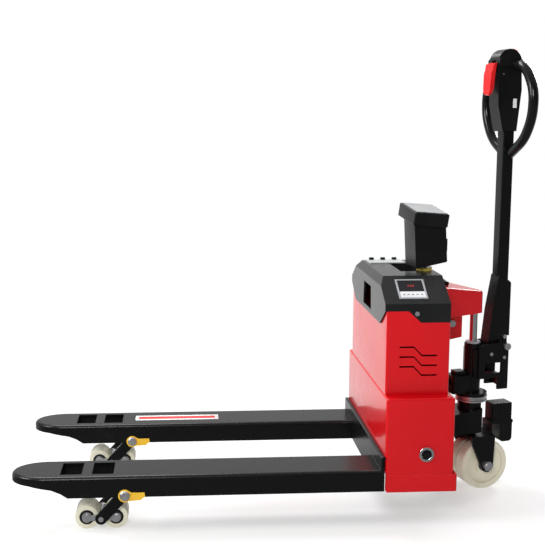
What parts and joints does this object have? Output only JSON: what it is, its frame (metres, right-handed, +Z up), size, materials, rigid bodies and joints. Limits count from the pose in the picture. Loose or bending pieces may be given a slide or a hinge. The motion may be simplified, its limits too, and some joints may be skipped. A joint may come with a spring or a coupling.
{
  "type": "electric pallet truck",
  "caption": "Weighing pallet truck with raised forks, tandem load rollers, sheet-metal body, ram lift, steered wheels and a tiller with loop handle.",
  "frame": {"origin": "middle of the whole truck's footprint, on the floor", "axes": "+X from the fork tips towards the tiller, +Y across to the right fork, +Z up"},
  "size_m": [1.67, 0.705, 1.4816],
  "materials": {
    "battery_case": "sealed battery case",
    "black_paint": "satin black powder coat",
    "black_plastic": "moulded plastic",
    "chrome": "hard chrome",
    "display_glass": "smoked display window",
    "gloss_black": "gloss coated tube",
    "grey_cover": "fine texture moulded plastic",
    "key_film": "printed key film",
    "light_lid": "light grey moulded plastic",
    "nylon": "cast nylon",
    "panel_film": "light film panel",
    "red_paint": "gloss red powder coat",
    "red_plastic": "red moulded plastic",
    "silver_frame": "satin silver frame",
    "yellow_paint": "yellow powder coat",
    "yellow_plastic": "yellow moulded plastic",
    "zinc": "bright zinc plate"
  },
  "bodies": {
    "chassis": {"left_fork": "black_paint", "right_fork": "black_paint", "arm_pivot_bolts": "zinc", "lock_tabs": "yellow_paint", "load_cells": "zinc", "heel_plate": "black_paint", "lower_body": "red_paint", "boss_rings": "chrome", "boss_plugs": "black_plastic", "upper_body": "red_paint", "top_cover": "grey_cover", "display_frame": "silver_frame", "display_window": "display_glass", "key_panel": "key_film", "mast_base": "yellow_plastic", "lift_head": "red_paint", "body_screws": "zinc", "ram_rod": "chrome", "switch_housing": "black_plastic", "battery": "battery_case", "controller": "silver_frame", "inner_frame": "black_paint"},
    "lid": {"battery_lid": "light_lid", "lid_clips": "black_plastic"},
    "indicator": {"mast_column": "black_plastic", "mast_head": "black_plastic", "head_panel": "panel_film"},
    "power_switch": {"power_rocker": "gloss_black"},
    "rocker": {"rocker_shaft": "black_paint"},
    "carriage": {"yoke": "black_paint", "lower_thrust_ring": "zinc"},
    "steering": {"upper_thrust_ring": "zinc", "pump_cylinder": "black_paint", "cylinder_gland": "chrome", "valve_block": "black_paint", "tiller_bracket": "black_paint", "bracket_pins": "chrome", "wheel_bracket": "black_paint", "steer_axle": "zinc", "pump_motor": "black_paint", "motor_guard": "black_plastic"},
    "left_wheel": {"left_steer_wheel": "nylon"},
    "right_wheel": {"right_steer_wheel": "nylon"},
    "tiller": {"tiller_sleeve": "black_paint", "tiller_pins": "zinc", "tiller_tube": "black_paint", "head_housing": "black_plastic", "loop_handle": "gloss_black"},
    "reverse_switch": {"reverse_button": "red_plastic"},
    "lever": {"lift_lever": "red_plastic"},
    "left_arm": {"left_roller_arm": "black_paint"},
    "left_tandem": {"left_tandem_link": "zinc"},
    "left_rod": {"left_push_rod": "zinc"},
    "left_front_roller": {"left_front_roller": "nylon"},
    "left_rear_roller": {"left_rear_roller": "nylon"},
    "right_arm": {"right_roller_arm": "black_paint"},
    "right_tandem": {"right_tandem_link": "zinc"},
    "right_rod": {"right_push_rod": "zinc"},
    "right_front_roller": {"right_front_roller": "nylon"},
    "right_rear_roller": {"right_rear_roller": "nylon"}
  },
  "joints": [
    {"name": "lift", "type": "slide", "parent": "chassis", "child": "carriage", "axis": [0, 0, 1], "range_m": [0, 0.096]},
    {"name": "steer", "type": "hinge", "parent": "carriage", "child": "steering", "pos_m": [0.68099, 0, 0.307], "axis": [0, 0, 1], "range_deg": [-94, 66]},
    {"name": "tiller_tilt", "type": "hinge", "parent": "steering", "child": "tiller", "pos_m": [0.78384, 0.02564, 0.493], "axis": [-0.2419, 0.9703, 0], "range_deg": [0, 75], "stiffness_Nm_per_rad": 32, "springref_deg": -17.19},
    {"name": "left_wheel_spin", "type": "hinge", "parent": "steering", "child": "left_wheel", "pos_m": [0.71301, 0.00798, 0.087], "axis": [-0.2419, 0.9703, 0], "continuous": true},
    {"name": "right_wheel_spin", "type": "hinge", "parent": "steering", "child": "right_wheel", "pos_m": [0.71301, 0.00798, 0.087], "axis": [-0.2419, 0.9703, 0], "continuous": true},
    {"name": "rocker_turn", "type": "hinge", "parent": "chassis", "child": "rocker", "pos_m": [0.42499, 0, 0.215], "axis": [0, -1, 0], "range_deg": [-0.5, 29.75]},
    {"name": "lid_hinge", "type": "hinge", "parent": "chassis", "child": "lid", "pos_m": [0.31499, 0.169, 0.772], "axis": [-1, 0, 0], "range_deg": [0, 95]},
    {"name": "indicator_swivel", "type": "hinge", "parent": "chassis", "child": "indicator", "pos_m": [0.49099, -0.06, 0.765], "axis": [0, 0, 1], "range_deg": [-49, 31]},
    {"name": "power_rocker_tilt", "type": "hinge", "parent": "chassis", "child": "power_switch", "pos_m": [0.56, -0.012, 0.72162], "axis": [0, -1, 0], "range_deg": [0, 8]},
    {"name": "reverse_press", "type": "slide", "parent": "tiller", "child": "reverse_switch", "axis": [0, 0, -1], "range_m": [0, 0.004], "stiffness_N_per_m": 600, "springref_m": -0.001},
    {"name": "lever_pull", "type": "hinge", "parent": "tiller", "child": "lever", "pos_m": [0.72951, 0.0121, 1.43], "axis": [-0.2419, 0.9703, 0], "range_deg": [-4, 0], "stiffness_Nm_per_rad": 2, "springref_deg": 5.73},
    {"name": "left_arm_turn", "type": "hinge", "parent": "chassis", "child": "left_arm", "pos_m": [-0.48501, -0.2625, 0.119], "axis": [0, 1, 0], "range_deg": [-0.5, 55.29]},
    {"name": "left_tandem_turn", "type": "hinge", "parent": "left_arm", "child": "left_tandem", "pos_m": [-0.56001, -0.2625, 0.037], "axis": [0, 1, 0], "range_deg": [-55.29, 0.5]},
    {"name": "left_front_roller_spin", "type": "hinge", "parent": "left_tandem", "child": "left_front_roller", "pos_m": [-0.60501, -0.2625, 0.037], "axis": [0, 1, 0], "continuous": true},
    {"name": "left_rear_roller_spin", "type": "hinge", "parent": "left_tandem", "child": "left_rear_roller", "pos_m": [-0.51501, -0.2625, 0.037], "axis": [0, 1, 0], "continuous": true},
    {"name": "left_rod_slide", "type": "slide", "parent": "chassis", "child": "left_rod", "axis": [1, 0, 0], "range_m": [-0.0005, 0.02979]},
    {"name": "right_arm_turn", "type": "hinge", "parent": "chassis", "child": "right_arm", "pos_m": [-0.48501, 0.2625, 0.119], "axis": [0, 1, 0], "range_deg": [-0.5, 55.29]},
    {"name": "right_tandem_turn", "type": "hinge", "parent": "right_arm", "child": "right_tandem", "pos_m": [-0.56001, 0.2625, 0.037], "axis": [0, 1, 0], "range_deg": [-55.29, 0.5]},
    {"name": "right_front_roller_spin", "type": "hinge", "parent": "right_tandem", "child": "right_front_roller", "pos_m": [-0.60501, 0.2625, 0.037], "axis": [0, 1, 0], "continuous": true},
    {"name": "right_rear_roller_spin", "type": "hinge", "parent": "right_tandem", "child": "right_rear_roller", "pos_m": [-0.51501, 0.2625, 0.037], "axis": [0, 1, 0], "continuous": true},
    {"name": "right_rod_slide", "type": "slide", "parent": "chassis", "child": "right_rod", "axis": [1, 0, 0], "range_m": [-0.0005, 0.02979]}
  ],
  "couplings": [
    {"joint": "rocker_turn", "follows": "lift", "rad_per_m": 5.3177},
    {"joint": "left_arm_turn", "follows": "lift", "rad_per_m": 9.9612},
    {"joint": "left_tandem_turn", "follows": "lift", "rad_per_m": -9.9612},
    {"joint": "left_rod_slide", "follows": "lift", "ratio": 0.30509},
    {"joint": "right_arm_turn", "follows": "lift", "rad_per_m": 9.9612},
    {"joint": "right_tandem_turn", "follows": "lift", "rad_per_m": -9.9612},
    {"joint": "right_rod_slide", "follows": "lift", "ratio": 0.30509}
  ]
}
